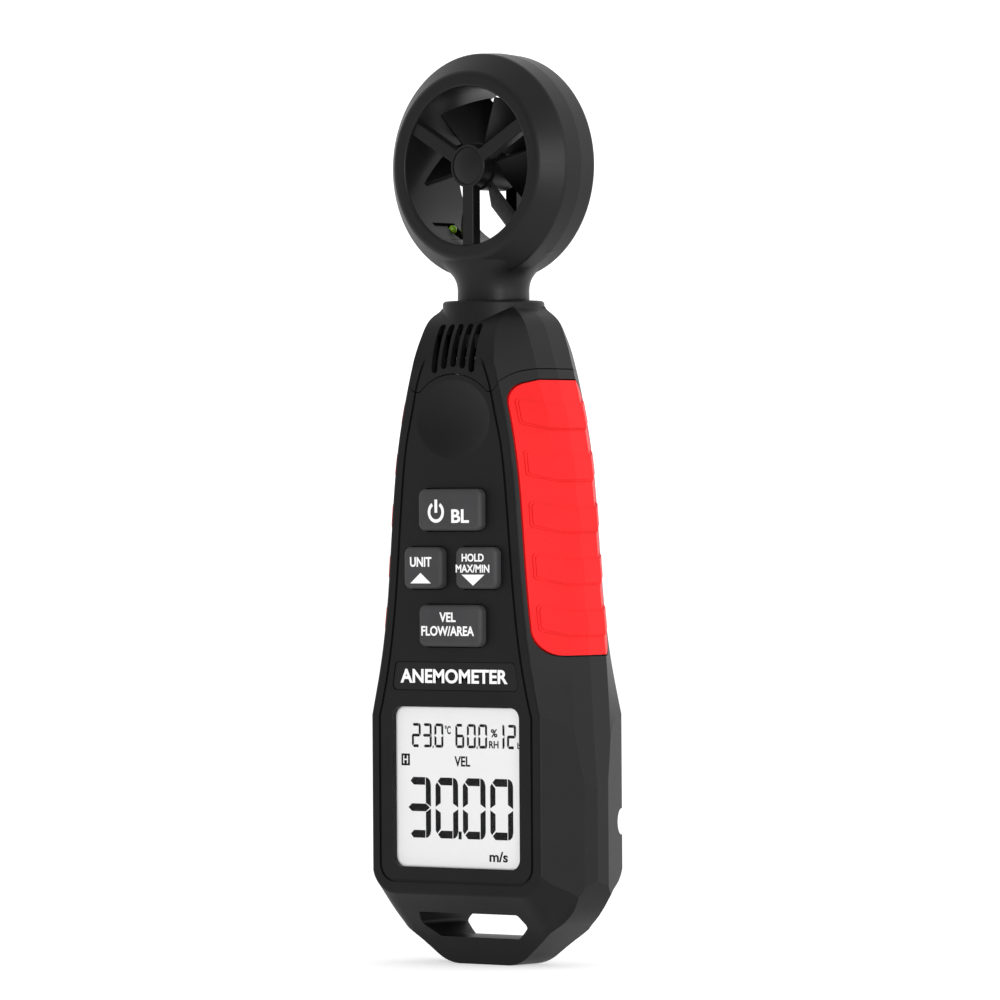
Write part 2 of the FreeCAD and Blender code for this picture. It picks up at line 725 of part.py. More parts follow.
def top_cap():
    dome = outer_body().common(seam_tool(0.0))
    collar = rod_z(0, 0, COLLAR_RADIUS, COLLAR_BOTTOM, COLLAR_TOP)
    collar = rounded(collar, lambda e: e.BoundBox.ZMin > COLLAR_TOP - 0.1, COLLAR_ROUNDING)
    depth = HALF_DEPTH - CAP_FACE_WALL
    cavity = side_envelope(CAP_WALL).common(box(-FAR, FAR, -depth, depth, 90, CAP_CEILING))
    removed = [cavity, rod_z(0, 0, COLLAR_BORE, 105, TOTAL_HEIGHT), face_groove()]
    removed += [vent_slot(i) for i in range(len(VENT_BOTTOMS))]
    return unite([dome, collar]).cut(removed)


# ---- grips ------------------------------------------------------------------------------
def pad_window(i, inset):
    """One raised pad of the grip, its ends swept upwards, seen from the side."""
    top = PAD_TOP - i * PAD_PITCH - inset
    bottom = top - PAD_HEIGHT + 2 * inset
    half = PAD_HALF_DEPTH - inset
    fold = PAD_FOLD
    corners = mirrored([
        (fold, bottom, 0.3),
        (half, bottom + PAD_RISE, 0.6),
        (half, top + PAD_RISE, 0.6),
        (fold, top, 0.3),
    ])
    return plate_yz(corners, GRIP_INNER_X, FAR)


def grip_right():
    base = side_envelope(0.0).common(grip_window(0.0))
    pads = []
    for proud, inset in PAD_LAYERS:
        raised = side_envelope(-proud)
        pads += [raised.common(pad_window(i, inset)) for i in range(PAD_COUNT)]
    return unite([base] + pads).cut(side_envelope(GRIP_THICKNESS))


# ---- measuring head ---------------------------------------------------------------------
def revolved(corners, place, axis):
    wire = Part.Wire(outline_edges(corners, place))
    return Part.Face(wire).revolve(V(0, 0, HEAD_Z), axis, 360)


def duct_ring():
    """Front half of the duct: radius and depth profile turned about the flow axis."""
    corners = (
        (BORE_RADIUS, 0.0, 0.0),
        (BORE_RADIUS, -HEAD_HALF_DEPTH, BORE_LIP),
        (HEAD_RIM_RADIUS, -HEAD_HALF_DEPTH, 1.5),
        (HEAD_EDGE_RADIUS, -HEAD_EDGE_DEPTH, 0.9),
        (HEAD_RADIUS, 0.0, 0.0),
    )
    return revolved(corners, lambda p: V(p.x, p.y, HEAD_Z), V(0, 1, 0))


def neck():
    """Round neck, flared into the duct, with the flange that the top cap holds."""
    sections = []
    for z, half_width, half_depth in NECK_FLARE:
        ellipse = Part.Ellipse(V(half_width, 0, z), V(0, half_depth, z), V(0, 0, z))
        sections.append(Part.Wire(ellipse.toShape()))
    flare = Part.makeLoft(sections, True, False)
    stem = rod_z(0, 0, NECK_STEM_RADIUS, CAP_CEILING, NECK_FLARE[1][0])
    flange = rod_z(0, 0, NECK_FLANGE_RADIUS, NECK_FLANGE_BOTTOM, CAP_CEILING)
    return unite([stem, flange, flare])


def spider():
    """Hub and three arms of the front guard."""
    front = -HEAD_HALF_DEPTH + ARM_SETBACK
    hub = rod_y(0, HEAD_Z, HUB_RADIUS, front, -HUB_BACK)
    hub = rounded(hub, lambda e: e.BoundBox.YMax < front + 0.1, ARM_ROUNDING)
    arms = []
    for angle in ARM_ANGLES:
        arm = Part.makeBox(BORE_RADIUS, ARM_DEPTH, ARM_WIDTH, V(1.5, front, -ARM_WIDTH / 2))
        arm = rounded(
            arm,
            lambda e: e.BoundBox.YMax < front + 0.1 and e.BoundBox.XLength > 1,
            ARM_ROUNDING,
        )
        arm.rotate(V(0, 0, 0), V(0, -1, 0), angle)
        arm.translate(V(0, 0, HEAD_Z))
        arms.append(arm)
    return unite([hub] + arms).common(rod_y(0, HEAD_Z, BORE_RADIUS + 0.5, -FAR, FAR))


def wedge(start, stop, radius, y0, y1):
    """Sector of a disc about the flow axis between two angles, from depth y0 to y1."""
    corners = [(0.0, HEAD_Z, 0.0)]
    for step in range(4):
        angle = math.radians(start + (stop - start) * step / 3)
        corners.append((2 * radius * math.cos(angle), HEAD_Z + 2 * radius * math.sin(angle), 0.0))
    return plate_xz(corners, y0, y1).common(rod_y(0, HEAD_Z, radius, y0, y1))


def sensor_bay():
    """Pocket in the floor of the duct for the sensor; it reaches over both head halves."""
    return wedge(270 - BAY_HALF_ANGLE, 270 + BAY_HALF_ANGLE, BAY_RADIUS, -BAY_FRONT, BAY_BACK)


def head_blank():
    """Front half of the duct with its neck and guard, before the seats and the bay."""
    before = box(-FAR, FAR, -FAR, 0, 0, 2 * TOTAL_HEIGHT)
    return unite([unite([duct_ring(), neck().common(before)]), spider()])


def head_seats():
    """Passage of the lead, seat of the front bearing and seat of the front hub cap."""
    return [
        rod_z(0, 0, NECK_PASSAGE, 0, HEAD_Z - BORE_RADIUS + 0.5),
        rod_y(0, HEAD_Z, BEARING_RADIUS, BEARING_FRONT, 0.0),
        rod_y(0, HEAD_Z, CAP_DOME_RADIUS + 0.1, -FAR, CAP_SEAT_Y),
    ]


def head_front():
    return head_blank().cut(head_seats() + [sensor_bay()])


def head_rear():
    return mirror_y(head_blank().cut(head_seats())).cut(sensor_bay())


def front_hub_cap():
    """Domed plug that closes the bearing seat."""
    radius = (CAP_DOME_RADIUS**2 + CAP_DOME_HEIGHT**2) / (2 * CAP_DOME_HEIGHT)
    ball = Part.makeSphere(radius, V(0, CAP_DOME_Y - CAP_DOME_HEIGHT + radius, HEAD_Z))
    dome = ball.common(rod_y(0, HEAD_Z, CAP_DOME_RADIUS, -FAR, CAP_DOME_Y))
    return unite([dome, rod_y(0, HEAD_Z, CAP_DOME_RADIUS, CAP_DOME_Y, CAP_SEAT_Y)])


def front_bearing():
    sleeve = rod_y(0, HEAD_Z, BEARING_RADIUS, BEARING_FRONT, -HUB_BACK - 0.1)
    return sleeve.cut(rod_y(0, HEAD_Z, SHAFT_RADIUS + FIT, -FAR, FAR))


def impeller_shaft():
    return rod_y(0, HEAD_Z, SHAFT_RADIUS, BEARING_FRONT + 0.1, -BEARING_FRONT - 0.1)


def impeller():
    hub = rod_y(0, HEAD_Z, IMPELLER_HUB, IMPELLER_FRONT, IMPELLER_BACK)
    hub = rounded(hub, lambda e: e.BoundBox.YMin > IMPELLER_BACK - 0.1, IMPELLER_ROUNDING)
    blades = []
    for k in range(BLADES):
        blade = Part.makeBox(
            BLADE_TIP, BLADE_CHORD, BLADE_THICKNESS, V(IMPELLER_HUB - 1, 0, -BLADE_THICKNESS / 2)
        )
        blade.rotate(V(0, 0, 0), V(1, 0, 0), BLADE_PITCH - 90)
        blade.translate(V(0, BLADE_FRONT, 0))
        blade.rotate(V(0, 0, 0), V(0, -1, 0), BLADE_START - k * 360 / BLADES)
        blade.translate(V(0, 0, HEAD_Z))
        blades.append(blade)
    wheel = unite([hub] + blades).common(rod_y(0, HEAD_Z, BLADE_TIP, -FAR, FAR))
    return wheel.cut(rod_y(0, HEAD_Z, SHAFT_RADIUS, -FAR, FAR))


def sensor_board():
    """Curved board in the bay, a step below the duct's wall, with an opening for the sensor."""
    front = -BAY_FRONT + BAY_CLEAR
    rear = BAY_BACK - BAY_CLEAR
    radius = BAY_RADIUS - BAY_CLEAR
    sectors = (
        (BOARD_START, BOARD_SLIT - BOARD_SLIT_WIDTH, BOARD_NOTCH_Y),
        (BOARD_SLIT, BOARD_STOP, rear),
    )
    pieces = [wedge(a, b, radius, front, back) for a, b, back in sectors]
    foot = wedge(BOARD_START, BOARD_STOP, radius, front, rear)
    pieces = [p.cut(rod_y(0, HEAD_Z, BORE_RADIUS + BOARD_STEP, -FAR, FAR)) for p in pieces]
    foot = foot.cut(rod_y(0, HEAD_Z, BAY_RADIUS - BOARD_FOOT, -FAR, FAR))
    return unite([foot] + pieces)


def speed_sensor():
    """Round sensor whose dome stands in the duct's wall and looks at the blades."""
    angle = math.radians(SENSOR_ANGLE)
    along = V(math.cos(angle), 0, math.sin(angle))
    centre = V(0, SENSOR_Y, HEAD_Z) + along * (BORE_RADIUS + SENSOR_SINK)
    seat = V(0, SENSOR_Y, HEAD_Z) + along * (BAY_RADIUS - BOARD_FOOT - SENSOR_SEAT_GAP)
    dome = Part.makeSphere(SENSOR_RADIUS, centre)
    stem = Part.makeCylinder(SENSOR_RADIUS, seat.distanceToPoint(centre), centre, along)
    return unite([dome, stem])


def sensor_lead():
    return rod_z(0, 0, LEAD_RADIUS, LEAD_BOTTOM, HEAD_Z - BAY_RADIUS)


# ---- buttons ----------------------------------------------------------------------------
def button(x, z, width):
    """Cap with a soft front edge, a flange behind the wall and a stem for its switch."""
    front = -HALF_DEPTH - BUTTON_PROUD
    back = FACE_INNER + 0.05 + FLANGE_THICKNESS
    cap = rounded_box_xz(x, z, width, BUTTON_HEIGHT, BUTTON_RADIUS, front, FACE_INNER + 0.1)
    cap = rounded(cap, lambda e: e.BoundBox.YMax < front + 0.01, BUTTON_EDGE)
    size = 2 * FLANGE_OVERLAP
    flange = rounded_box_xz(
        x, z, width + size, BUTTON_HEIGHT + size, BUTTON_RADIUS, FACE_INNER + 0.05, back
    )
    return unite([cap, flange, rod_y(x, z, STEM_RADIUS, back - 0.05, STEM_END_Y)])


# ---- display stack ----------------------------------------------------------------------
def lcd_window():
    height = PANE_TOP - PANE_BOTTOM
    middle = (PANE_TOP + PANE_BOTTOM) / 2
    return rounded_box_xz(0, middle, 2 * PANE_HALF, height, 1.0, PANE_FRONT, PANE_BACK)


def centred_plate(size, y0, y1):
    """Plain plate of the given width and height, centred behind the window."""
    half_width, half_height = size[0] / 2, size[1] / 2
    middle = (PANE_TOP + PANE_BOTTOM) / 2
    return box(-half_width, half_width, y0, y1, middle - half_height, middle + half_height)


def lcd_glass():
    return centred_plate(GLASS_SIZE, GLASS_FRONT, GLASS_BACK)


def lcd_backlight():
    return centred_plate(LIGHT_SIZE, GLASS_BACK + 0.05, BOARD_FRONT - 0.05)


def zebra_strips():
    """Soft conductor strips that join the glass to the board, below and above the backlight."""
    half = LIGHT_SIZE[0] / 2
    strips = [box(-half, half, GLASS_BACK, BOARD_FRONT, z, z + ZEBRA_HEIGHT) for z in ZEBRA_BOTTOMS]
    return Part.Compound(strips)


# ---- electronics ------------------------------------------------------------------------
def main_board():
    slab = box(-FAR, FAR, BOARD_FRONT, BOARD_BACK, BOARD_BOTTOM, BOARD_TOP)
    board = slab.common(side_envelope(SIDE_WALL + BOARD_GAP))
    holes = [rod_y(x, z, CASE_POST + 0.3, -FAR, FAR) for x, z in CASE_SCREWS]
    holes += [rod_y(x, z, BOARD_THREAD + 0.1, -FAR, FAR) for x, z in BOARD_SCREWS]
    return board.cut(holes)


def keypad_mat():
    """Rubber sheet behind the buttons, on two ribs that stand on the board."""
    slab = box(-FAR, FAR, MAT_FRONT, MAT_BACK, MAT_BOTTOM, MAT_TOP)
    sheet = slab.common(side_envelope(SIDE_WALL + BOARD_GAP))
    half = MAT_RIB_HALF
    ribs = [box(-half, half, MAT_BACK - 0.1, BOARD_FRONT, z, z + 1) for z in (MAT_BOTTOM, MAT_TOP - 1)]
    holes = [rod_y(x, z, MAT_HOLE, -FAR, FAR) for x, z, _ in BUTTONS.values()]
    return unite([sheet] + ribs).cut(holes)


def tact_switches():
    half = SWITCH_SIZE / 2
    top = BOARD_FRONT - SWITCH_HEIGHT
    switches = []
    for x, z, _ in BUTTONS.values():
        base = box(x - half, x + half, top, BOARD_FRONT, z - half, z + half)
        plunger = rod_y(x, z, PLUNGER_RADIUS, BOARD_FRONT - PLUNGER_HEIGHT, top + 0.1)
        switches.append(unite([base, plunger]))
    return Part.Compound(switches)


def board_chips():
    """Processor, memory, amplifier and quartz on the back of the board."""
    chips = []
    for x, z, width, height, thickness in CHIPS:
        low = V(x - width / 2, BOARD_BACK, z - height / 2)
        chips.append(Part.makeBox(width, thickness, height, low))
    return Part.Compound(chips)


def lead_socket():
    return box(-3.0, 3.0, BOARD_BACK, 1.6, 92.0, 97.0)


def humidity_sensor():
    """Sensor on its small board, standing up behind the vents."""
    board = box(-3.5, 3.5, -6.5, BOARD_FRONT - 0.1, 90.0, 106.5)
    return unite([board, box(-1.6, 1.6, -7.6, -6.5, 102.6, 105.8)])


# ---- batteries --------------------------------------------------------------------------
def battery(index):
    """One AAA cell; the middle one is turned over."""
    shoulder = BATTERY_LENGTH - NUB_HEIGHT
    can = rounded(rod_z(0, 0, BATTERY_RADIUS, 0, shoulder), lambda e: len(e.Vertexes) == 1, 0.5)
    cell = unite([can, rod_z(0, 0, NUB_RADIUS, shoulder - 0.2, BATTERY_LENGTH)])
    if index == TURNED_CELL:
        cell.rotate(V(0, 0, BATTERY_LENGTH / 2), V(1, 0, 0), 180)
    bottom = TRAY_BOTTOM + PLATE_SHEET if index == TURNED_CELL else BATTERY_BOTTOM
    cell.translate(V((index - TURNED_CELL) * BATTERY_PITCH, BATTERY_Y, bottom))
    return cell


def contact_plates():
    half_width, half_depth = CONTACT_HALF
    plates = []
    for index in range(BATTERIES):
        x = (index - TURNED_CELL) * BATTERY_PITCH
        for z in (TRAY_BOTTOM, TRAY_TOP - PLATE_SHEET):
            low = V(x - half_width, BATTERY_Y - half_depth, z)
            plates.append(Part.makeBox(2 * half_width, 2 * half_depth, PLATE_SHEET, low))
    return Part.Compound(plates)


def contact_springs():
    """Coil springs: below the outer cells and above the turned one."""
    springs = []
    for index in range(BATTERIES):
        low = TRAY_BOTTOM + PLATE_SHEET
        high = BATTERY_BOTTOM
        if index == TURNED_CELL:
            low += BATTERY_LENGTH
            high = TRAY_TOP - PLATE_SHEET
        rise = high - low - 2 * SPRING_WIRE - 0.02
        helix = Part.makeHelix(rise / SPRING_TURNS, rise, SPRING_RADIUS)
        circle = Part.Wire(Part.makeCircle(SPRING_WIRE, V(SPRING_RADIUS, 0, 0), V(0, 1, 0)))
        coil = Part.Wire(helix.Edges).makePipeShell([circle], True, True)
        coil.translate(V((index - TURNED_CELL) * BATTERY_PITCH, BATTERY_Y, low + SPRING_WIRE + 0.01))
        springs.append(coil)
    return Part.Compound(springs)


# ---- screws -----------------------------------------------------------------------------
def screw(x, z, head_radius, head_y, head_height, thread, tip_y):
    """Cross-head screw along Y, its head to the back."""
    top = head_y + head_height
    head = rod_y(x, z, head_radius, head_y, top)
    shank = rod_y(x, z, thread, tip_y, head_y + 0.1)
    cross = [
        box(x - across, x + across, top - CROSS_DEPTH, FAR, z - up, z + up)
        for across, up in ((CROSS_REACH, CROSS_HALF_WIDTH), (CROSS_HALF_WIDTH, CROSS_REACH))
    ]
    return unite([head, shank]).cut(cross)


def case_screws():
    size = (CASE_HEAD, CASE_HEAD_Y, CASE_HEAD_HEIGHT, CASE_THREAD, CASE_TIP_Y)
    return Part.Compound([screw(x, z, *size) for x, z in CASE_SCREWS])


def board_screws():
    size = (BOARD_HEAD, BOARD_BACK, BOARD_HEAD_HEIGHT, BOARD_THREAD, BOARD_TIP_Y)
    return Part.Compound([screw(x, z, *size) for x, z in BOARD_SCREWS])


def name_plate():
    return plate_outline(0.0, 0.9, PLATE_BACK - PLATE_THICKNESS, PLATE_BACK)


# ---- all nodes --------------------------------------------------------------------------
def all_nodes():
    nodes = {name: button(*place) for name, place in BUTTONS.items()}
    grip = grip_right()
    nodes.update({
        "front_cover": front_cover(),
        "back_cover": back_cover(),
        "battery_door": battery_door(),
        "top_cap": top_cap(),
        "grip_right": grip,
        "grip_left": mirror_x(grip),
        "head_front": head_front(),
        "head_rear": head_rear(),
        "front_hub_cap": front_hub_cap(),
        "rear_hub_cap": mirror_y(front_hub_cap()),
        "front_bearing": front_bearing(),
        "rear_bearing": mirror_y(front_bearing()),
        "impeller": impeller(),
        "impeller_shaft": impeller_shaft(),
        "sensor_board": sensor_board(),
        "speed_sensor": speed_sensor(),
        "sensor_lead": sensor_lead(),
        "lcd_window": lcd_window(),
        "lcd_glass": lcd_glass(),
        "lcd_backlight": lcd_backlight(),
        "zebra_strips": zebra_strips(),
        "main_board": main_board(),
        "keypad_mat": keypad_mat(),
        "tact_switches": tact_switches(),
        "board_chips": board_chips(),
        "lead_socket": lead_socket(),
        "humidity_sensor": humidity_sensor(),
        "contact_plates": contact_plates(),
        "contact_springs": contact_springs(),
        "case_screws": case_screws(),
        "board_screws": board_screws(),
        "name_plate": name_plate(),
    })
    nodes.update({f"battery_{i + 1}": battery(i) for i in range(BATTERIES)})
    return nodes


def main():
    os.makedirs("parts", exist_ok=True)
    for name, shape in all_nodes().items():
        shape.exportStep(f"parts/{name}.step")


main()
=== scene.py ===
import json
import math

import bmesh
import bpy
from mathutils import Matrix, Vector


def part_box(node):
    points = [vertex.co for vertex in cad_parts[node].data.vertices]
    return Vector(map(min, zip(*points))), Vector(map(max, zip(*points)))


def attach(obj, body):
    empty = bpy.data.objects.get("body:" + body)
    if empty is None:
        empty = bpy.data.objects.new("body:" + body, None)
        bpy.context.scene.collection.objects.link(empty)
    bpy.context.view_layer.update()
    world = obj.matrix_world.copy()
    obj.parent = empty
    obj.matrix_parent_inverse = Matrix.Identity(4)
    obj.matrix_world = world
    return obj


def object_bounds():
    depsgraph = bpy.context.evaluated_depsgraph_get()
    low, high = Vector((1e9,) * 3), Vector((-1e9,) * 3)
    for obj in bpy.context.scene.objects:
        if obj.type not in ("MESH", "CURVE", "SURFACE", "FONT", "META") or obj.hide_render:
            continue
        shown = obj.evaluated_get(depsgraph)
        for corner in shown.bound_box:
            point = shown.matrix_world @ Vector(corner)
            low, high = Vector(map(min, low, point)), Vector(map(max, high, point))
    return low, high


# The vane anemometer's looks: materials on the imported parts, the printed legends, the display's
# figures, the floor, the light and the camera.  The scene is in metres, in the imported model's
# frame; the tables of small sizes are in mm and say so.

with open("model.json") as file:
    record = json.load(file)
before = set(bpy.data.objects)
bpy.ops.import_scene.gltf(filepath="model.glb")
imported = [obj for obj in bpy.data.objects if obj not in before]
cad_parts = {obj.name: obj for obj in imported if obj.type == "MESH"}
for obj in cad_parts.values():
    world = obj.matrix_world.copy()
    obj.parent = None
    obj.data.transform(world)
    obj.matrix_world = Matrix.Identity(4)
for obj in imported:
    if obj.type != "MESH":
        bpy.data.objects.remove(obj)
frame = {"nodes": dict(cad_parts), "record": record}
cad_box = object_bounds()

MM = 0.001
INK_THICKNESS = 0.03 * MM


# ---- materials --------------------------------------------------------------------------
# the part of a noise's range that a colour or a roughness is spread over, and its levels of detail
NOISE_LOW = 0.3
NOISE_HIGH = 0.7
PLAIN_DETAIL = 2.0
FINE_DETAIL = 3.0

# moulded surfaces: scale of the cloudy colour; scale, height in mm and change of roughness of the grain
CLOUD_SCALE = 130.0
GRAIN_SCALE = 5200.0
GRAIN_HEIGHT = 0.012
GRAIN_ROUGHNESS = 0.04

# metal: scale, stretch, height in mm and change of roughness of the streaks
STREAK_SCALE = 1800.0
STREAK_STRETCH = (1.0, 8.0, 1.0)
STREAK_HEIGHT = 0.004
STREAK_ROUGHNESS = 0.06

SMEAR_SCALE = 60.0
WINDOW_DARK = (0.02, 0.02, 0.02)
WINDOW_LIGHT = (0.04, 0.04, 0.04)
WINDOW_ROUGHNESS = (0.04, 0.08)
WINDOW_SPECULAR = 0.3
WINDOW_ALPHA = 0.04

DISPLAY_CLOUD_SCALE = 55.0
DISPLAY_GRAIN_SCALE = 3000.0
DISPLAY_DARK = (0.30, 0.297, 0.297)
DISPLAY_LIGHT = (0.32, 0.317, 0.317)
DISPLAY_ROUGHNESS = (0.32, 0.40)
# painted light: the display's glow colour and strength, which brighten it and even out the shade in its
# recess
DISPLAY_PAINTED_GLOW_COLOUR = (0.95, 0.95, 0.96, 1.0)
DISPLAY_PAINTED_GLOW = 0.62

# moulded, coated and printed surfaces: dark and light colour, roughness and specular level, then
# the grain's scale and its height in mm where they differ from the usual ones
MOULDED = {
    "case_plastic": ((0.0032, 0.0032, 0.0033), (0.0044, 0.0044, 0.0045), 0.48, 0.19),
    "head_plastic": ((0.0036, 0.0036, 0.0037), (0.0050, 0.0050, 0.0051), 0.44, 0.22),
    "impeller_plastic": ((0.004, 0.004, 0.004), (0.006, 0.006, 0.006), 0.42, 0.25),
    "grip_rubber": ((0.62, 0.004, 0.005), (0.67, 0.006, 0.007), 0.50, 0.16, 4200.0),
    "button_rubber": ((0.036, 0.036, 0.038), (0.044, 0.044, 0.046), 0.60, 0.25),
    "diffuser": ((0.86, 0.87, 0.88), (0.92, 0.93, 0.94), 0.35, 0.4),
    "silicone": ((0.30, 0.30, 0.31), (0.36, 0.36, 0.37), 0.6, 0.3),
    "board_laminate": ((0.02, 0.30, 0.03), (0.03, 0.40, 0.05), 0.35, 0.5, 900.0),
    "sensor_lens": ((0.30, 0.62, 0.02), (0.36, 0.70, 0.04), 0.25, 0.5, 1200.0, 0.004),
    "chip_plastic": ((0.016, 0.016, 0.017), (0.024, 0.024, 0.025), 0.45, 0.4),
    "socket_plastic": ((0.74, 0.72, 0.64), (0.82, 0.80, 0.73), 0.45, 0.4),
    "lead_sleeve": ((0.02, 0.02, 0.02), (0.03, 0.03, 0.03), 0.5, 0.4, 1500.0),
    "label_film": ((0.004, 0.004, 0.004), (0.006, 0.006, 0.006), 0.38, 0.22, 7000.0, 0.004),
    "battery_jacket": ((0.05, 0.055, 0.065), (0.08, 0.085, 0.10), 0.3, 0.5, 1200.0, 0.006),
    "white_ink": ((0.84, 0.84, 0.84), (0.90, 0.90, 0.90), 0.55, 0.2, 9000.0, 0.003),
    "display_ink": ((0.006, 0.006, 0.007), (0.010, 0.010, 0.011), 0.5, 0.1, 9000.0, 0.001),
}

# plated or turned metals: dark and light colour, and roughness
BRUSHED = {
    "contact_metal": ((0.70, 0.69, 0.64), (0.82, 0.81, 0.77), 0.26),
    "steel": ((0.52, 0.53, 0.54), (0.66, 0.67, 0.68), 0.33),
    "bearing_brass": ((0.66, 0.47, 0.20), (0.80, 0.61, 0.30), 0.28),
}


def shader(name):
    """A new material: itself, its node tree, its Principled shader and its object coordinates."""
    material = bpy.data.materials.new(name)
    material.use_nodes = True
    tree = material.node_tree
    principled = tree.nodes["Principled BSDF"]
    coordinates = tree.nodes.new("ShaderNodeTexCoord")
    return material, tree, principled, coordinates.outputs["Object"]


def noise(tree, vector, scale, detail=PLAIN_DETAIL):
    node = tree.nodes.new("ShaderNodeTexNoise")
    node.inputs["Scale"].default_value = scale
    node.inputs["Detail"].default_value = detail
    tree.links.new(vector, node.inputs["Vector"])
    return node.outputs["Fac"]


def ramp(tree, factor, dark, light):
    """Colour that follows a noise from dark to light."""
    node = tree.nodes.new("ShaderNodeValToRGB")
    first, last = node.color_ramp.elements
    first.position = NOISE_LOW
    first.color = (*dark, 1.0)
    last.position = NOISE_HIGH
    last.color = (*light, 1.0)
    tree.links.new(factor, node.inputs["Fac"])
    return node.outputs["Color"]


def spread(tree, factor, low, high, start=NOISE_LOW, end=NOISE_HIGH):
    """Number that goes from low to high as the factor goes from start to end."""
    node = tree.nodes.new("ShaderNodeMapRange")
    node.inputs["From Min"].default_value = start
    node.inputs["From Max"].default_value = end
    node.inputs["To Min"].default_value = low
    node.inputs["To Max"].default_value = high
    tree.links.new(factor, node.inputs["Value"])
    return node.outputs["Result"]


def bump(tree, principled, height, depth):
    node = tree.nodes.new("ShaderNodeBump")
    node.inputs["Strength"].default_value = 1.0
    node.inputs["Distance"].default_value = depth
    tree.links.new(height, node.inputs["Height"])
    tree.links.new(node.outputs["Normal"], principled.inputs["Normal"])


def moulded(name, dark, light, rough, specular, grain=GRAIN_SCALE, height=GRAIN_HEIGHT):
    """Moulded or coated surface: faint cloudy colour, fine grain in its height and its gloss."""
    material, tree, principled, place = shader(name)
    cloud = noise(tree, place, CLOUD_SCALE, FINE_DETAIL)
    fine = noise(tree, place, grain)
    roughness = spread(tree, fine, rough - GRAIN_ROUGHNESS, rough + GRAIN_ROUGHNESS)
    tree.links.new(ramp(tree, cloud, dark, light), principled.inputs["Base Color"])
    tree.links.new(roughness, principled.inputs["Roughness"])
    principled.inputs["Specular IOR Level"].default_value = specular
    bump(tree, principled, fine, height * MM)
    return material


def brushed(name, dark, light, rough):
    """Plated or turned metal with fine streaks."""
    material, tree, principled, place = shader(name)
    stretch = tree.nodes.new("ShaderNodeMapping")
    stretch.inputs["Scale"].default_value = STREAK_STRETCH
    tree.links.new(place, stretch.inputs["Vector"])
    streaks = noise(tree, stretch.outputs["Vector"], STREAK_SCALE, FINE_DETAIL)
    roughness = spread(tree, streaks, rough - STREAK_ROUGHNESS, rough + STREAK_ROUGHNESS)
    tree.links.new(ramp(tree, streaks, dark, light), principled.inputs["Base Color"])
    tree.links.new(roughness, principled.inputs["Roughness"])
    principled.inputs["Metallic"].default_value = 1.0
    bump(tree, principled, streaks, STREAK_HEIGHT * MM)
    return material


def clear_window():
    """Thin clear pane, faintly smeared."""
    material, tree, principled, place = shader("clear_window")
    smear = noise(tree, place, SMEAR_SCALE, FINE_DETAIL)
    tree.links.new(ramp(tree, smear, WINDOW_DARK, WINDOW_LIGHT), principled.inputs["Base Color"])
    tree.links.new(spread(tree, smear, *WINDOW_ROUGHNESS), principled.inputs["Roughness"])
    principled.inputs["Alpha"].default_value = WINDOW_ALPHA
    principled.inputs["Specular IOR Level"].default_value = WINDOW_SPECULAR
    return material


def display_face():
    """Light grey display, a little uneven, with a faint painted glow that brightens it and evens out the
    shade from its recess's walls.
    """
    material, tree, principled, place = shader("display_face")
    cloud = noise(tree, place, DISPLAY_CLOUD_SCALE)
    grain = noise(tree, place, DISPLAY_GRAIN_SCALE)
    tree.links.new(ramp(tree, cloud, DISPLAY_DARK, DISPLAY_LIGHT), principled.inputs["Base Color"])
    tree.links.new(spread(tree, grain, *DISPLAY_ROUGHNESS), principled.inputs["Roughness"])
    # painted glow: the emission stands in for light and evens out the shade from the recess's walls
    principled.inputs["Emission Color"].default_value = DISPLAY_PAINTED_GLOW_COLOUR
    principled.inputs["Emission Strength"].default_value = DISPLAY_PAINTED_GLOW
    return material


def all_materials():
    """Every material by its name; the names of the parts' materials are their slots."""
    made = {name: moulded(name, *row) for name, row in MOULDED.items()}
    made.update({name: brushed(name, *row) for name, row in BRUSHED.items()})
    made["clear_window"] = clear_window()
    made["display_face"] = display_face()
    return made


MATERIALS = all_materials()


def paint(piece, name):
    piece.data.materials.clear()
    piece.data.materials.append(MATERIALS[name])


def paint_nodes():
    for part in frame["record"]["subparts"]:
        paint(frame["nodes"][part["node"]], part["material_slot"])


# ---- printed pieces ---------------------------------------------------------------------
LETTER_CURVE_STEPS = 6


def add_piece(name, mesh, ink, body):
    piece = bpy.data.objects.new(name, mesh)
    bpy.context.scene.collection.objects.link(piece)
    paint(piece, ink)
    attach(piece, body)


def facing(x, y, z):
    """Places a flat drawing, x to the right and y up, on a face that looks along -Y."""
    return Matrix(((1, 0, 0, x), (0, 0, -1, y), (0, 1, 0, z), (0, 0, 0, 1)))


def thin_solid(name, outlines, place):
    """Closed outlines in the drawing's plane, each raised to a thin solid."""
    work = bmesh.new()
    for outline in outlines:
        low = [work.verts.new((u, v, 0.0)) for u, v in outline]
        high = [work.verts.new((u, v, INK_THICKNESS)) for u, v in outline]
        work.faces.new(low[::-1])
        work.faces.new(high)
        count = len(outline)
        for i in range(count):
            j = (i + 1) % count
            work.faces.new((low[i], low[j], high[j], high[i]))
    bmesh.ops.recalc_face_normals(work, faces=work.faces)
    work.transform(place)
    mesh = bpy.data.meshes.new(name)
    work.to_mesh(mesh)
    work.free()
    return mesh


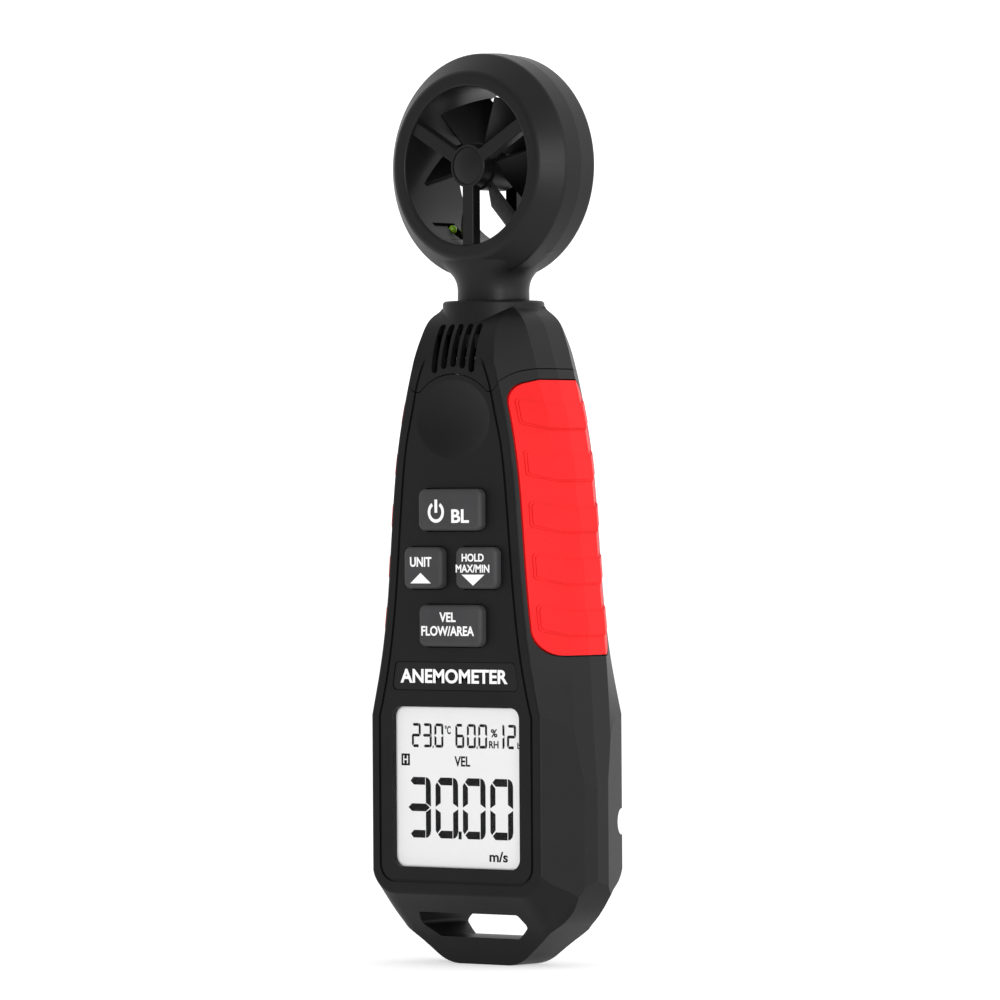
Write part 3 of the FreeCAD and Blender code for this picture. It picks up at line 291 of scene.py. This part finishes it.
def lettering(name, words, width, height, place, bold):
    """Words drawn to an exact width and height, centred on the drawing's origin.

    bold is how far the letters' edges are moved out, as a share of the letters' size."""
    curve = bpy.data.curves.new(name + "_curve", "FONT")
    curve.body = words
    curve.size = 1.0
    curve.offset = bold
    curve.extrude = 0.5
    curve.resolution_u = LETTER_CURVE_STEPS
    text = bpy.data.objects.new(name + "_text", curve)
    bpy.context.scene.collection.objects.link(text)
    bpy.context.view_layer.update()
    mesh = bpy.data.meshes.new_from_object(text)
    bpy.data.objects.remove(text)
    xs = [v.co.x for v in mesh.vertices]
    ys = [v.co.y for v in mesh.vertices]
    zs = [v.co.z for v in mesh.vertices]
    centre = Vector(((min(xs) + max(xs)) / 2, (min(ys) + max(ys)) / 2, min(zs)))
    across = width / (max(xs) - min(xs))
    upward = height / (max(ys) - min(ys))
    fit = Matrix.Diagonal((across, upward, INK_THICKNESS, 1.0))
    mesh.transform(place @ fit @ Matrix.Translation(-centre))
    mesh.name = name
    return mesh


def rectangle(left, right, low, high):
    return [(left, low), (right, low), (right, high), (left, high)]


def arc_points(radius, start, stop, steps):
    angles = [math.radians(start + (stop - start) * i / steps) for i in range(steps + 1)]
    return [(radius * math.cos(a), radius * math.sin(a)) for a in angles]


# ---- legends of the keys and the label --------------------------------------------------
# each key's words: text, width, height, offset right and up from the key's centre, in mm
KEY_WORDS = {
    "power_button": (("BL", 4.0, 2.37, 2.7, -1.1),),
    "unit_button": (("UNIT", 4.9, 1.72, -0.2, 1.05),),
    "hold_button": (("HOLD", 5.0, 1.39, -0.45, 1.8), ("MAX/MIN", 7.6, 1.41, -0.5, -0.1)),
    "mode_button": (("VEL", 3.7, 1.69, -0.3, 1.5), ("FLOW/AREA", 12.0, 1.72, -0.3, -0.9)),
}
# each key's triangle: half width, height, offset right, offset up of its base, in mm; a height
# below zero points it down
KEY_ARROWS = {
    "unit_button": (2.35, 1.84, -0.25, -2.7),
    "hold_button": (2.6, -1.92, -0.4, -1.15),
}
LEGEND_BOLD = 0.028

# the sign's radii, the bar's half width, foot and top, and the offset right and up, in mm; the
# ring's opening to each side of the bar, in degrees
SIGN_OUTER = 1.85
SIGN_INNER = 1.27
SIGN_BAR = (0.31, -0.1, 2.2)
SIGN_OFFSET = (-2.8, -0.4)
SIGN_OPENING = 32.0
SIGN_STEPS = 40

# the label's words: width, height and offset right, in mm
LABEL_WIDTH = 24.4
LABEL_HEIGHT = 2.5
LABEL_RIGHT = -0.3
LABEL_BOLD = 0.03


def key_place(key, right, up):
    """A drawing's place on a key's front, measured from the key's centre in mm."""
    low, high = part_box(key)
    centre = (low + high) / 2
    return facing(centre.x + right * MM, low.y + INK_THICKNESS / 2, centre.z + up * MM)


def key_legends():
    for key, words in KEY_WORDS.items():
        for i, (text, width, height, right, up) in enumerate(words):
            name = f"{key}_words_{i + 1}"
            place = key_place(key, right, up)
            mesh = lettering(name, text, width * MM, height * MM, place, LEGEND_BOLD)
            add_piece(name, mesh, "white_ink", key)
    for key, (half, rise, right, up) in KEY_ARROWS.items():
        name = f"{key}_arrow"
        arrow = [(-half * MM, 0.0), (half * MM, 0.0), (0.0, rise * MM)]
        mesh = thin_solid(name, [arrow], key_place(key, right, up))
        add_piece(name, mesh, "white_ink", key)


def power_sign():
    """Open ring with an upright bar."""
    start, stop = 90.0 + SIGN_OPENING, 450.0 - SIGN_OPENING
    ring = arc_points(SIGN_OUTER * MM, start, stop, SIGN_STEPS)
    ring += arc_points(SIGN_INNER * MM, stop, start, SIGN_STEPS)
    half, low, high = (size * MM for size in SIGN_BAR)
    bar = rectangle(-half, half, low, high)
    mesh = thin_solid("power_sign", [ring, bar], key_place("power_button", *SIGN_OFFSET))
    add_piece("power_sign", mesh, "white_ink", "power_button")


def label_words():
    low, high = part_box("name_plate")
    centre = (low + high) / 2
    place = facing(centre.x + LABEL_RIGHT * MM, low.y + INK_THICKNESS / 2, centre.z)
    mesh = lettering("label_words", "ANEMOMETER", LABEL_WIDTH * MM, LABEL_HEIGHT * MM, place, LABEL_BOLD)
    add_piece("label_words", mesh, "white_ink", "root")


# ---- display ----------------------------------------------------------------------------
# how far the casing's opening stands in from the window's edges, and its corners' radius, in mm
OPENING_INSET_SIDE = 0.95
OPENING_INSET_BOTTOM = 1.8
OPENING_INSET_TOP = 1.5
OPENING_RADIUS = 1.9

# the bright line round the visible area: how far it reaches in and out, in mm
BORDER_IN = 0.22
BORDER_OUT = 0.3
CORNER_STEPS = 8

SEGMENTS_OF = {"0": "abcdef", "1": "bc", "2": "abdeg", "3": "abcdg", "6": "acdefg"}
# space between two segments, as a share of a level segment's thickness
SEGMENT_GAP = 0.12

# a row of figures: top and bottom as shares of the visible area, and the thickness of the level
# and the upright segments in mm
LARGE_ROW = (0.441, 0.820, 1.35, 1.15)
SMALL_ROW = (0.104, 0.255, 0.50, 0.45)
# name, figures, their left edges and their width as shares of the visible area, and row
FIGURES = (
    ("speed_figures", "3000", (0.0875, 0.303, 0.5185, 0.734), 0.178, LARGE_ROW),
    ("temperature_figures", "230", (0.118, 0.205, 0.297), 0.070, SMALL_ROW),
    ("humidity_figures", "600", (0.463, 0.554, 0.643), 0.069, SMALL_ROW),
    ("force_figures", "12", (0.779, 0.868), 0.069, SMALL_ROW),
)

# decimal points: centre, top, bottom and width as shares of the visible area
DECIMAL_POINTS = (
    (0.495, 0.774, 0.823, 0.024),
    (0.286, 0.243, 0.258, 0.008),
    (0.633, 0.243, 0.258, 0.008),
)

# the display's words: name, text, left, right, top and bottom as shares of the visible area
DISPLAY_WORDS = (
    ("degree_word", "°C", 0.380, 0.426, 0.116, 0.170),
    ("percent_word", "%", 0.742, 0.792, 0.133, 0.184),
    ("humidity_word", "RH", 0.727, 0.801, 0.207, 0.252),
    ("force_word", "bf", 0.948, 0.990, 0.212, 0.253),
    ("quantity_word", "VEL", 0.454, 0.578, 0.306, 0.370),
    ("speed_unit", "m/s", 0.725, 0.868, 0.892, 0.957),
)
WORD_BOLD = 0.025

# the hold mark: centre and half size of its tile as shares of the visible area, and the letter's
# size as a share of the tile's half size
HOLD_CENTRE = (0.067, 0.333)
HOLD_HALF = (0.033, 0.037)
HOLD_LETTER = (1.15, 1.35)
HOLD_BOLD = 0.02

# how far the back of a drawing lies in front of the display, in ink thicknesses; the hold mark's
# letter lies further forward than its tile
INK_LIFT = 0.5
HOLD_LETTER_LIFT = 1.2


def display_area():
    """Left, top, width and height of the visible display, and the depth of its surface."""
    low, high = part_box("lcd_window")
    left = low.x + OPENING_INSET_SIDE * MM
    top = high.z - OPENING_INSET_TOP * MM
    width = high.x - low.x - 2 * OPENING_INSET_SIDE * MM
    height = top - low.z - OPENING_INSET_BOTTOM * MM
    return left, top, width, height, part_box("lcd_glass")[0].y


def display_size():
    return display_area()[2:4]


def on_display(u, v, lift=INK_LIFT):
    """Place on the display, u across and v down as shares of the visible area."""
    left, top, width, height, depth = display_area()
    return facing(left + u * width, depth - lift * INK_THICKNESS, top - v * height)


def add_display_piece(name, mesh, ink="display_ink"):
    add_piece(name, mesh, ink, "root")


def rounded_corners(half_u, half_v, radius):
    """Outline of a rectangle with rounded corners, centred on the drawing's origin."""
    points = []
    for start, su, sv in ((0, 1, 1), (90, -1, 1), (180, -1, -1), (270, 1, -1)):
        centre_u, centre_v = su * (half_u - radius), sv * (half_v - radius)
        corner = arc_points(radius, start, start + 90, CORNER_STEPS)
        points += [(centre_u + x, centre_v + y) for x, y in corner]
    return points


def display_border():
    """Bright line round the visible area."""
    width, height = display_size()
    line, reach, radius = BORDER_IN * MM, BORDER_OUT * MM, OPENING_RADIUS * MM
    outer = rounded_corners(width / 2 + reach, height / 2 + reach, radius)
    inner = rounded_corners(width / 2 - line, height / 2 - line, radius - line)
    count = len(outer)
    strips = [(outer[i], outer[(i + 1) % count], inner[(i + 1) % count], inner[i]) for i in range(count)]
    mesh = thin_solid("display_border", strips, on_display(0.5, 0.5))
    add_display_piece("display_border", mesh, "white_ink")


def digit_outlines(figure, width, height, bar, post):
    """Outlines of one seven-segment figure, its lower left corner at the origin.

    bar is the thickness of the level segments and post that of the upright ones.  The shares of
    them in the outlines are how far the segments' slanted ends reach."""
    gap = SEGMENT_GAP * bar
    mid = height / 2
    nose = bar / 2
    shapes = {
        "a": [
            (post * 0.45, height - nose), (post, height), (width - post - gap, height),
            (width - post - gap, height - bar), (post * 1.1, height - bar),
        ],
        "b": [
            (width - post, height), (width - post * 0.6, height - bar * 0.08),
            (width - post * 0.18, height - bar * 0.4), (width, height - bar * 0.95),
            (width, mid + gap), (width - post, mid + nose + gap),
        ],
        "f": [
            (0.0, height - bar), (post * 0.3, height - bar * 0.62), (post, height - bar * 1.25),
            (post, mid + nose + gap), (0.0, mid + gap),
        ],
        "g": [
            (0.0, mid), (post * 0.7, mid + nose), (width - post, mid + nose),
            (width - post * 0.2, mid), (width - post, mid - nose), (post * 0.7, mid - nose),
        ],
    }
    for upper, lower in (("a", "d"), ("b", "c"), ("f", "e")):
        shapes[lower] = [(x, height - y) for x, y in reversed(shapes[upper])]
    return [shapes[s] for s in SEGMENTS_OF[figure]]


def display_figures():
    """Seven-segment figures, each row of them in one piece."""
    width, height = display_size()
    for name, text, lefts, cell, (top, bottom, bar, post) in FIGURES:
        outlines = []
        for figure, left in zip(text, lefts):
            drawn = digit_outlines(figure, cell * width, (bottom - top) * height, bar * MM, post * MM)
            outlines += [[(x + left * width, y) for x, y in outline] for outline in drawn]
        add_display_piece(name, thin_solid(name, outlines, on_display(0.0, bottom)))


def display_points():
    width, height = display_size()
    outlines = []
    for u, top, bottom, share in DECIMAL_POINTS:
        x, half = u * width, share * width / 2
        outlines.append(rectangle(x - half, x + half, -bottom * height, -top * height))
    add_display_piece("decimal_points", thin_solid("decimal_points", outlines, on_display(0.0, 0.0)))


def display_words():
    width, height = display_size()
    for name, text, left, right, top, bottom in DISPLAY_WORDS:
        place = on_display((left + right) / 2, (top + bottom) / 2)
        mesh = lettering(name, text, (right - left) * width, (bottom - top) * height, place, WORD_BOLD)
        add_display_piece(name, mesh)


def hold_mark():
    """Black tile with a light H."""
    width, height = display_size()
    half_u, half_v = HOLD_HALF[0] * width, HOLD_HALF[1] * height
    tile = rectangle(-half_u, half_u, -half_v, half_v)
    add_display_piece("hold_tile", thin_solid("hold_tile", [tile], on_display(*HOLD_CENTRE)))
    letter_width, letter_height = half_u * HOLD_LETTER[0], half_v * HOLD_LETTER[1]
    place = on_display(*HOLD_CENTRE, HOLD_LETTER_LIFT)
    letter = lettering("hold_letter", "H", letter_width, letter_height, place, HOLD_BOLD)
    add_display_piece("hold_letter", letter, "white_ink")


# ---- floor, light and camera ------------------------------------------------------------
FLOOR_RADIUS = 14.0
FLOOR_SIDES = 96
FLOOR_CLOUD_SCALE = 3.0
FLOOR_DARK = (0.60, 0.60, 0.60)
FLOOR_LIGHT = (0.62, 0.62, 0.62)
FLOOR_GLOW = 0.5
WHITE = (1.0, 1.0, 1.0, 1.0)

# the room's strength towards its bright side, in degrees round from the front, and away from it
ROOM_BRIGHT_AZIMUTH = 165.0
ROOM_BRIGHT = 1.52
ROOM_DIM = 0.58

# name, azimuth, elevation and distance from the object's middle, width, height and power in watts
SOFT_BOXES = (
    ("key_light", 56.0, 6.0, 1.5, 0.35, 0.6, 10.0),
    ("side_light", 95.0, 10.0, 1.6, 0.6, 1.2, 5.0),
)

# azimuth and roll in degrees, lens and sensor in mm, eye height as a share of the object's height,
# and how far to the right of the object's axis the camera looks
CAMERA_AZIMUTH = 39.6
CAMERA_DISTANCE = 1.265
CAMERA_LENS = 259.0
CAMERA_SENSOR = 36.0
CAMERA_CLIP = (0.05, 60.0)
CAMERA_EYE = 0.5091
CAMERA_SIDE = 0.9 * MM
CAMERA_ROLL = 0.36


def around(azimuth, elevation, distance, centre):
    """Point seen from the centre at an azimuth (0 is the front) and elevation, in degrees."""
    a, e = math.radians(azimuth), math.radians(elevation)
    way = Vector((math.sin(a) * math.cos(e), -math.cos(a) * math.cos(e), math.sin(e)))
    return centre + way * distance


def aim(thing, point, roll=0.0):
    way = (point - thing.location).to_track_quat("-Z", "Y")
    thing.rotation_euler = (way.to_matrix() @ Matrix.Rotation(roll, 3, "Z")).to_euler()


def floor_sheet():
    """Round matte floor, faintly glowing, so that it shows as the room's white."""
    work = bmesh.new()
    bmesh.ops.create_circle(work, cap_ends=True, segments=FLOOR_SIDES, radius=FLOOR_RADIUS)
    mesh = bpy.data.meshes.new("floor")
    work.to_mesh(mesh)
    work.free()
    floor = bpy.data.objects.new("floor", mesh)
    bpy.context.scene.collection.objects.link(floor)
    material, tree, principled, place = shader("floor_paint")
    cloud = noise(tree, place, FLOOR_CLOUD_SCALE)
    tree.links.new(ramp(tree, cloud, FLOOR_DARK, FLOOR_LIGHT), principled.inputs["Base Color"])
    principled.inputs["Roughness"].default_value = 1.0
    principled.inputs["Specular IOR Level"].default_value = 0.0
    principled.inputs["Emission Color"].default_value = WHITE
    principled.inputs["Emission Strength"].default_value = FLOOR_GLOW
    mesh.materials.append(material)


def room_light():
    """White room, brighter on one side."""
    world = bpy.data.worlds.new("studio")
    world.use_nodes = True
    tree = world.node_tree
    way = tree.nodes.new("ShaderNodeTexCoord")
    towards = tree.nodes.new("ShaderNodeVectorMath")
    towards.operation = "DOT_PRODUCT"
    towards.inputs[1].default_value = around(ROOM_BRIGHT_AZIMUTH, 0.0, 1.0, Vector())
    tree.links.new(way.outputs["Generated"], towards.inputs[0])
    level = spread(tree, towards.outputs["Value"], ROOM_DIM, ROOM_BRIGHT, -1.0, 1.0)
    background = tree.nodes["Background"]
    background.inputs["Color"].default_value = WHITE
    tree.links.new(level, background.inputs["Strength"])
    bpy.context.scene.world = world


def camera():
    """Level camera, at the eye height and side of the object that the view shows.

    Returns the object's middle, the point that it looks at."""
    low, high = cad_box
    eye = low[2] + CAMERA_EYE * (high[2] - low[2])
    azimuth = math.radians(CAMERA_AZIMUTH)
    right = Vector((math.cos(azimuth), math.sin(azimuth), 0.0))
    target = Vector((0.0, 0.0, eye)) + right * CAMERA_SIDE
    lens = bpy.data.cameras.new("camera")
    lens.lens = CAMERA_LENS
    lens.sensor_width = CAMERA_SENSOR
    lens.clip_start, lens.clip_end = CAMERA_CLIP
    holder = bpy.data.objects.new("camera", lens)
    bpy.context.scene.collection.objects.link(holder)
    holder.location = around(CAMERA_AZIMUTH, 0.0, CAMERA_DISTANCE, target)
    aim(holder, target, -math.radians(CAMERA_ROLL))
    bpy.context.scene.camera = holder
    return target


def soft_boxes(target):
    """Large soft lamps round the object, aimed at its middle."""
    for name, azimuth, elevation, distance, width, height, power in SOFT_BOXES:
        lamp = bpy.data.lights.new(name, "AREA")
        lamp.shape = "RECTANGLE"
        lamp.size = width
        lamp.size_y = height
        lamp.energy = power
        holder = bpy.data.objects.new(name, lamp)
        bpy.context.scene.collection.objects.link(holder)
        holder.location = around(azimuth, elevation, distance, target)
        aim(holder, target)


paint_nodes()
key_legends()
power_sign()
label_words()
display_border()
display_figures()
display_points()
display_words()
hold_mark()
floor_sheet()
room_light()
middle = camera()
soft_boxes(middle)
bpy.context.scene.view_settings.view_transform = "Standard"
